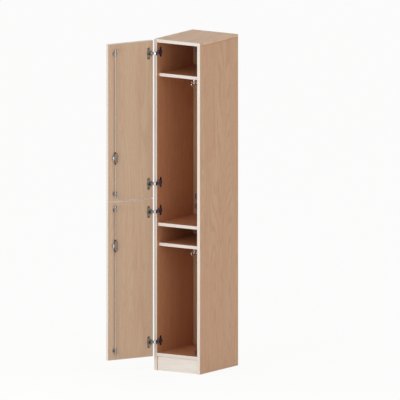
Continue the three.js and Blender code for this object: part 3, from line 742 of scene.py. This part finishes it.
def coat_hook(node):
    """A cast double hook: a round foot with a soft edge, a turned stem, and two prongs that
    swell out of the knob under it and curl up to ball tips."""
    low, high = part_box(node)
    foot = Vector(((low.x + high.x) / 2, (low.y + high.y) / 2, high.z))
    down = Vector((0, 0, -1))
    across = Vector((1, 0, 0))
    work = bmesh.new()
    profile = in_metres(COAT_FOOT_PROFILE) + in_metres(COAT_KNOB_PROFILE, COAT_STEM)
    turned(work, foot, down, across, profile)
    root = foot + down * COAT_STEM
    for hand in (-1, 1):
        tip = root + Vector((0, hand * PRONG_OUT, PRONG_UP))
        sag = Vector((0, hand * COAT_REACH * PRONG_PULL, -COAT_DROP * PRONG_SAG))
        handles = [root, root + down * COAT_DROP * PRONG_PULL, root + sag, tip]
        rings = []
        for i in range(PRONG_STEPS + 1):
            t = i / PRONG_STEPS
            up = curve_heading(handles, t).cross(across)
            radius = PRONG_RADIUS - PRONG_TAPER * t
            point = curve_point(handles, t)
            rings.append(ring_of(work, point, across, up, radius, PRONG_SIDES))
        skin(work, rings)
        turned(work, tip, curve_heading(handles, 1), across, ball(PRONG_BALL), BALL_SIDES)
    mesh = mesh_of(work, node + "_cast")
    smooth(mesh, CAST_SHARP_ANGLE)
    settle(new_piece(node + "_cast", mesh, "chrome"), "carcass", "chrome", node)


def door_frame():
    """Turns a place on a closed door, measured from its inner hinge-side corner at the floor,
    into its place with the door open: x along the door, y out of its inner face, z up."""
    pivot = Vector(JOINTS["upper_door_swing"]["pos_m"])
    pivot.z = 0
    swing = Matrix.Rotation(-OPEN_ANGLE, 4, "Z")
    return (
        Matrix.Translation(pivot) @ swing @ Matrix.Translation(DOOR_CLOSED_CORNER - pivot)
    )


def middle_height(node):
    """The height of the middle of a node."""
    low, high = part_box(node)
    return (low.z + high.z) / 2


def plate_between(work, outline, low, high):
    """A flat form: an outline of (x, z) points carried from one y to another."""
    skin(work, [[work.verts.new((x, y, z)) for x, z in outline] for y in (low, high)])


def arc(x, z, radius, start, end, steps):
    """Points along an arc about x, z, from one angle to another in degrees."""
    angles = [math.radians(start + (end - start) * i / steps) for i in range(steps + 1)]
    return [(x + radius * math.cos(a), z + radius * math.sin(a)) for a in angles]


def loose_mesh(name, build):
    """An object with the closed form that a function builds."""
    work = bmesh.new()
    build(work)
    piece = bpy.data.objects.new(name, mesh_of(work, name))
    bpy.context.scene.collection.objects.link(piece)
    return piece


def carve(piece, other, operation):
    """Joins another form to a piece or cuts it out, and takes the other away."""
    modifier = piece.modifiers.new("carve", "BOOLEAN")
    modifier.operation = operation
    modifier.solver = "EXACT"
    modifier.object = other
    graph = bpy.context.evaluated_depsgraph_get()
    shaped = bpy.data.meshes.new_from_object(piece.evaluated_get(graph))
    piece.modifiers.clear()
    piece.data = shaped
    bpy.data.objects.remove(other)


def hinge_cup(node):
    """A pressed hinge cup: the bowl let into the door under a round rim, the flange with rounded
    corners beside it, the pocket that the links fold into and the pin across it."""

    def bowl(work):
        centre = Vector((CUP_FROM_EDGE, 0, 0))
        rim = CUP_RADIUS + CUP_RIM
        under_rim = FLANGE_UNDERSIDE + 0.01 * MM
        rim_top = FLANGE_TOP + 0.1 * MM
        profile = [
            (CUP_FLOOR, CUP_RADIUS - MM),
            (CUP_FLOOR + 0.4 * MM, CUP_RADIUS),
            (FLANGE_UNDERSIDE, CUP_RADIUS),
            (under_rim, rim),
            (FLANGE_TOP - 0.3 * MM, rim),
            (rim_top, rim - 0.5 * MM),
            (rim_top, rim - 2 * MM),
        ]
        turned(work, centre, Vector((0, 1, 0)), Vector((1, 0, 0)), profile, CUP_SIDES)

    def flange(work):
        x = FLANGE_HALF.x - FLANGE_CORNER
        z = FLANGE_HALF.z - FLANGE_CORNER
        middle = CUP_FROM_EDGE + FLANGE_SHIFT
        outline = []
        for hand, up, start in ((1, 1, 0), (-1, 1, 90), (-1, -1, 180), (1, -1, 270)):
            outline += arc(middle + hand * x, up * z, FLANGE_CORNER, start, start + 90, 6)
        plate_between(work, outline, FLANGE_UNDERSIDE, FLANGE_TOP)

    def pocket(work):
        reach = math.degrees(math.asin(POCKET_HALF / POCKET_RADIUS))
        outline = arc(CUP_FROM_EDGE, 0, POCKET_RADIUS, -reach, reach, 8)
        outline += arc(CUP_FROM_EDGE, 0, POCKET_RADIUS, 180 - reach, 180 + reach, 8)
        plate_between(work, outline, POCKET_FLOOR, POCKET_CUT_TOP)

    def pin(work):
        reach = POCKET_HALF + CUP_PIN_BITE
        foot = Vector((CUP_PIN_FROM_EDGE, CUP_PIN_DEPTH, -reach))
        ends = [(0, CUP_PIN_RADIUS), (2 * reach, CUP_PIN_RADIUS)]
        turned(work, foot, Vector((0, 0, 1)), Vector((1, 0, 0)), ends, CUP_PIN_SIDES)

    piece = loose_mesh(node + "_pressed", bowl)
    carve(piece, loose_mesh("flange", flange), "UNION")
    carve(piece, loose_mesh("pocket", pocket), "DIFFERENCE")
    carve(piece, loose_mesh("pin", pin), "UNION")
    mesh = piece.data
    mesh.name = piece.name
    mesh.transform(door_frame() @ Matrix.Translation((0, 0, middle_height(node))))
    mesh.materials.clear()
    mesh.materials.append(MATERIALS["hinge_nickel"])
    smooth(mesh, SHARP_ANGLE)
    soften_edges(piece, PLATED_EDGE)
    settle(piece, BODY_OF[node], SLOT_OF[node], node)


def hub_cover(door):
    """The polished, slightly crowned cover on the lock's turning hub."""
    frame_of_door = door_frame()
    across = frame_of_door.to_3x3() @ Vector((1, 0, 0))
    outward = frame_of_door.to_3x3() @ Vector((0, 1, 0))
    height = middle_height(door + "_lock_case")
    foot = frame_of_door @ Vector((DOOR_WIDTH - HUB_FROM_FREE_EDGE, HUB_TOP, height))
    work = bmesh.new()
    turned(work, foot, outward, across, in_metres(HUB_PROFILE), HUB_SIDES)
    # The case hides the rest of the cover, and the rods run there
    everything = work.verts[:] + work.edges[:] + work.faces[:]
    limit = foot - across * HUB_HIDDEN
    halved = bmesh.ops.bisect_plane(
        work, geom=everything, plane_co=limit, plane_no=across, clear_inner=True
    )
    rim = [part for part in halved["geom_cut"] if isinstance(part, bmesh.types.BMEdge)]
    bmesh.ops.edgeloop_fill(work, edges=rim)
    mesh = mesh_of(work, door + "_hub_cover")
    smooth(mesh, HUB_SHARP_ANGLE)
    settle(new_piece(door + "_hub_cover", mesh, "hub"), door + "_door", "lock_nickel")


def screw_tree():
    """Geometry nodes that put a cross-slotted screw head on every point, turned by chance."""
    tree = bpy.data.node_groups.new("screw_heads", "GeometryNodeTree")
    sockets = tree.interface
    sockets.new_socket("Geometry", in_out="INPUT", socket_type="NodeSocketGeometry")
    for name, value in (
        ("Head radius", 3.6 * MM),
        ("Head height", 1.5 * MM),
        ("Slot width", 1.1 * MM),
    ):
        socket = sockets.new_socket(name, in_out="INPUT", socket_type="NodeSocketFloat")
        socket.default_value = value
    sockets.new_socket("Seed", in_out="INPUT", socket_type="NodeSocketInt")
    sockets.new_socket("Material", in_out="INPUT", socket_type="NodeSocketMaterial")
    sockets.new_socket("Geometry", in_out="OUTPUT", socket_type="NodeSocketGeometry")
    given = tree.nodes.new("NodeGroupInput").outputs
    # Half a ball, flattened to the head's height
    ball = add(
        tree,
        "GeometryNodeMeshUVSphere",
        {"Segments": 24, "Rings": 10, "Radius": given["Head radius"]},
    )
    flat = calc(tree, "DIVIDE", given["Head height"], given["Head radius"])
    squash = add(tree, "ShaderNodeCombineXYZ", {"X": 1.0, "Y": 1.0, "Z": flat})
    head = add(
        tree,
        "GeometryNodeTransform",
        {"Geometry": ball.outputs["Mesh"], "Scale": squash.outputs["Vector"]},
    )
    blade_size = add(
        tree,
        "ShaderNodeCombineXYZ",
        {"X": given["Head radius"], "Y": given["Slot width"], "Z": given["Head height"]},
    )
    blade = add(tree, "GeometryNodeMeshCube", {"Size": blade_size.outputs["Vector"]})
    lift = add(tree, "ShaderNodeCombineXYZ", {"X": 0.0, "Y": 0.0, "Z": given["Head height"]})
    raised = add(
        tree,
        "GeometryNodeTransform",
        {"Geometry": blade.outputs["Mesh"], "Translation": lift.outputs["Vector"]},
    )
    crossed = add(
        tree,
        "GeometryNodeTransform",
        {"Geometry": raised.outputs["Geometry"], "Rotation": (0.0, 0.0, math.pi / 2)},
    )
    slotted = add(tree, "GeometryNodeMeshBoolean", {"Mesh 1": head.outputs["Geometry"]})
    slotted.operation = "DIFFERENCE"
    tree.links.new(raised.outputs["Geometry"], slotted.inputs["Mesh 2"])
    tree.links.new(crossed.outputs["Geometry"], slotted.inputs["Mesh 2"])
    facing = add(
        tree, "GeometryNodeInputNamedAttribute", {"Name": "facing"}, data_type="FLOAT_VECTOR"
    )
    size = add(tree, "GeometryNodeInputNamedAttribute", {"Name": "size"}, data_type="FLOAT")
    aim = add(
        tree,
        "FunctionNodeAlignRotationToVector",
        {"Vector": facing.outputs["Attribute"]},
        axis="Z",
    )
    # Sockets 2 and 3 are the least and the greatest of a random number
    spin = add(
        tree,
        "FunctionNodeRandomValue",
        {2: 0.0, 3: math.pi / 2, "Seed": given["Seed"]},
        data_type="FLOAT",
    )
    spread = add(
        tree,
        "GeometryNodeInstanceOnPoints",
        {
            "Points": given["Geometry"],
            "Instance": slotted.outputs["Mesh"],
            "Rotation": aim.outputs["Rotation"],
            "Scale": size.outputs["Attribute"],
        },
    )
    turn = add(tree, "ShaderNodeCombineXYZ", {"X": 0.0, "Y": 0.0, "Z": spin.outputs[1]})
    spun = add(
        tree,
        "GeometryNodeRotateInstances",
        {"Instances": spread.outputs["Instances"], "Rotation": turn.outputs["Vector"]},
    )
    real = add(tree, "GeometryNodeRealizeInstances", {"Geometry": spun.outputs["Instances"]})
    done = add(
        tree,
        "GeometryNodeSetMaterial",
        {"Geometry": real.outputs["Geometry"], "Material": given["Material"]},
    )
    add(tree, "NodeGroupOutput", {"Geometry": done.outputs["Geometry"]})
    return tree


def screws(tree, body, slot, places, seed):
    """All the screw heads of one body as one plain mesh. Each place is (point, facing, size)."""
    mesh = bpy.data.meshes.new(body + "_screw_places")
    mesh.from_pydata([place for place, _, _ in places], [], [])
    facing = [value for _, direction, _ in places for value in direction]
    mesh.attributes.new("facing", "FLOAT_VECTOR", "POINT").data.foreach_set("vector", facing)
    sizes = [size for _, _, size in places]
    mesh.attributes.new("size", "FLOAT", "POINT").data.foreach_set("value", sizes)
    holder = bpy.data.objects.new(body + "_screw_holder", mesh)
    bpy.context.scene.collection.objects.link(holder)
    modifier = holder.modifiers.new("screws", "NODES")
    modifier.node_group = tree
    inputs = [item for item in tree.interface.items_tree if item.in_out == "INPUT"]
    names = {item.name: item.identifier for item in inputs}
    modifier[names["Seed"]] = seed
    modifier[names["Material"]] = MATERIALS["screw"]
    graph = bpy.context.evaluated_depsgraph_get()
    heads = bpy.data.meshes.new_from_object(holder.evaluated_get(graph))
    holder.modifiers.clear()
    bpy.data.objects.remove(holder)
    heads.name = body + "_screws"
    smooth(heads, SHARP_ANGLE)
    settle(new_piece(body + "_screws", heads, "screw"), body, slot)


def carcass_screw_places():
    """The screws of the hinges' plates and arms, the strikes and the coat hooks."""
    right = Vector((1, 0, 0))
    down = Vector((0, 0, -1))
    places = []
    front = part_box("left_side_edging")[0].y
    wall = -SIDE_INNER_FACE
    for hinge in HINGES:
        wing_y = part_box(hinge + "_plate")[1].y - PLATE_WING_RADIUS
        height = middle_height(hinge + "_plate")
        for hand in (-1, 1):
            spot = (wall + WING_TOP, wing_y, height + hand * PLATE_SCREW_REACH)
            places.append((spot, right, SCREW_SIZE["plate"]))
        for depth, size in ARM_SCREWS:
            places.append(((wall + ARM_TOP, front + depth, height), right, size))
    for door in DOORS:
        for end in ("top", "bottom"):
            low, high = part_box(door + "_door_" + end + "_strike")
            middle = (low + high) / 2
            x = high.x - STRIKE_BASE_TOP
            for hand in (-1, 1):
                spot = (x, middle.y, middle.z + hand * STRIKE_SCREW_REACH)
                places.append((spot, -right, SCREW_SIZE["strike"]))
        low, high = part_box(door + "_coat_hook")
        middle = (low + high) / 2
        for turn in COAT_SCREW_TURNS:
            x = middle.x + COAT_SCREW_REACH * math.cos(math.radians(turn))
            y = middle.y + COAT_SCREW_REACH * math.sin(math.radians(turn))
            places.append(((x, y, high.z - COAT_FOOT), down, SCREW_SIZE["coat_hook"]))
    return places


def door_screw_places(door):
    """The screws of one door's hinge cups and rod guides."""
    frame_of_door = door_frame()
    outward = frame_of_door.to_3x3() @ Vector((0, 1, 0))
    places = []
    for end in ("upper", "lower"):
        height = middle_height(door + "_door_" + end + "_hinge_cup")
        for hand in (-1, 1):
            x = CUP_FROM_EDGE + FLANGE_SHIFT
            spot = Vector((x, FLANGE_TOP, height + hand * CUP_SCREW_REACH))
            places.append((frame_of_door @ spot, outward, SCREW_SIZE["cup"]))
    for end in ("top", "bottom"):
        height = middle_height(door + "_door_" + end + "_guide")
        for hand in (-1, 1):
            x = DOOR_WIDTH - ROD_FROM_FREE_EDGE + hand * GUIDE_SCREW_REACH
            spot = Vector((x, GUIDE_FLANGE_TOP, height))
            places.append((frame_of_door @ spot, outward, SCREW_SIZE["guide"]))
    return places


def place_screws():
    """Puts every screw in, with a seed for each body's turns."""
    tree = screw_tree()
    screws(tree, "carcass", "dark_nickel", carcass_screw_places(), seed=3)
    for seed, door in enumerate(DOORS):
        screws(tree, door + "_door", "lock_nickel", door_screw_places(door), seed)


def view_axes():
    """The camera's right, up and back directions at the photograph's angle."""
    a, e = VIEW_AZIMUTH, VIEW_ELEVATION
    right = Vector((math.cos(a), math.sin(a), 0))
    back = Vector((math.sin(a) * math.cos(e), -math.cos(a) * math.cos(e), math.sin(e)))
    return right, back.cross(right), back


def place_camera():
    """A parallel view with the photograph's angles and scale, and the unit's corner in its pixel."""
    right, up, back = view_axes()
    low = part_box("left_side_edging")[0]
    corner = Vector((low.x, low.y, 0))
    across = (PHOTO_SIDE / 2 - CORNER_PIXEL[0]) / PIXELS_PER_MM * MM
    above = (CORNER_PIXEL[1] - PHOTO_SIDE / 2) / PIXELS_PER_MM * MM
    data = bpy.data.cameras.new("camera")
    data.type = "ORTHO"
    data.ortho_scale = PHOTO_SIDE / PIXELS_PER_MM * MM
    data.clip_end = 4 * CAMERA_DISTANCE
    camera = bpy.data.objects.new("camera", data)
    camera.matrix_world = Matrix.Translation(
        corner + right * across + up * above + back * CAMERA_DISTANCE
    ) @ Matrix((right, up, back)).transposed().to_4x4()
    bpy.context.scene.collection.objects.link(camera)
    bpy.context.scene.camera = camera


def area_light(name, place, size, power):
    """A square lamp that faces the unit."""
    data = bpy.data.lights.new(name, "AREA")
    data.size = size
    data.energy = power
    lamp = bpy.data.objects.new(name, data)
    lamp.location = place
    aim = Vector(LAMP_TARGET) - Vector(place)
    lamp.rotation_euler = aim.to_track_quat("-Z", "Y").to_euler()
    bpy.context.scene.collection.objects.link(lamp)


def light_studio():
    """A pale surround gives most of the light. A soft lamp from the front left throws the shadows
    of the rods and locks to the right, and a very wide one from the right fills them. The camera
    and the metal see the white background; a darker ceiling over it gives the plating its dark
    reflections."""
    for name, (place, size, power) in LAMPS.items():
        area_light(name, place, size, power)

    world = bpy.data.worlds.new("studio")
    bpy.context.scene.world = world
    world.use_nodes = True
    tree = world.node_tree
    tree.nodes.clear()
    ray = add(tree, "ShaderNodeLightPath")
    sky = add(tree, "ShaderNodeTexCoord").outputs["Generated"]
    heading = add(tree, "ShaderNodeSeparateXYZ", {"Vector": sky})
    height = heading.outputs["Z"]
    ceiling = ranged(tree, height, CEILING_START, CEILING_END, 1.0, CEILING_LIGHT)
    # Sockets 2 and 3 are the node's two numbers
    strength = add(
        tree, "ShaderNodeMix", {0: seen_directly(tree, ray), 2: SURROUND_LIGHT, 3: ceiling}
    )
    background = add(
        tree,
        "ShaderNodeBackground",
        {"Color": linear("#ffffff"), "Strength": strength.outputs[0]},
    )
    output = add(tree, "ShaderNodeOutputWorld")
    tree.links.new(background.outputs["Background"], output.inputs["Surface"])


def seen_directly(tree, ray):
    """1 where the camera, a mirror-like face or a clear one looks at something, else 0."""
    seen = ray.outputs["Is Camera Ray"]
    for kind in ("Is Glossy Ray", "Is Transmission Ray"):
        seen = calc(tree, "MAXIMUM", seen, ray.outputs[kind])
    return seen


def lay_floor():
    """A white floor that fades into the surround and keeps a trace of the unit's shadow."""
    mesh = bpy.data.meshes.new("floor")
    corners = [(FLOOR_HALF * x, FLOOR_HALF * y, 0) for x, y in ((-1, -1), (1, -1), (1, 1), (-1, 1))]
    mesh.from_pydata(corners, [], [(0, 1, 2, 3)])
    floor = bpy.data.objects.new("floor", mesh)
    bpy.context.scene.collection.objects.link(floor)
    material, tree, output = new_material("pale_floor")
    seen = seen_directly(tree, add(tree, "ShaderNodeLightPath"))
    share = calc(tree, "MULTIPLY", seen, FLOOR_GLOW)
    diffuse = add(tree, "ShaderNodeBsdfDiffuse", {"Color": linear("#f4f2ef")})
    glow = add(tree, "ShaderNodeEmission", {"Color": linear("#ffffff"), "Strength": 1.0})
    both = add(tree, "ShaderNodeMixShader", {"Fac": share})
    tree.links.new(diffuse.outputs["BSDF"], both.inputs[1])
    tree.links.new(glow.outputs["Emission"], both.inputs[2])
    tree.links.new(both.outputs["Shader"], output.inputs["Surface"])
    mesh.materials.append(material)


dress_boards()
dress_hardware()
for door_name in DOORS:
    coat_hook(door_name + "_coat_hook")
    hub_cover(door_name)
for hinge_name in HINGES:
    hinge_cup(hinge_name + "_cup")
place_screws()
place_camera()
light_studio()
lay_floor()
bpy.context.scene.view_settings.view_transform = "Standard"
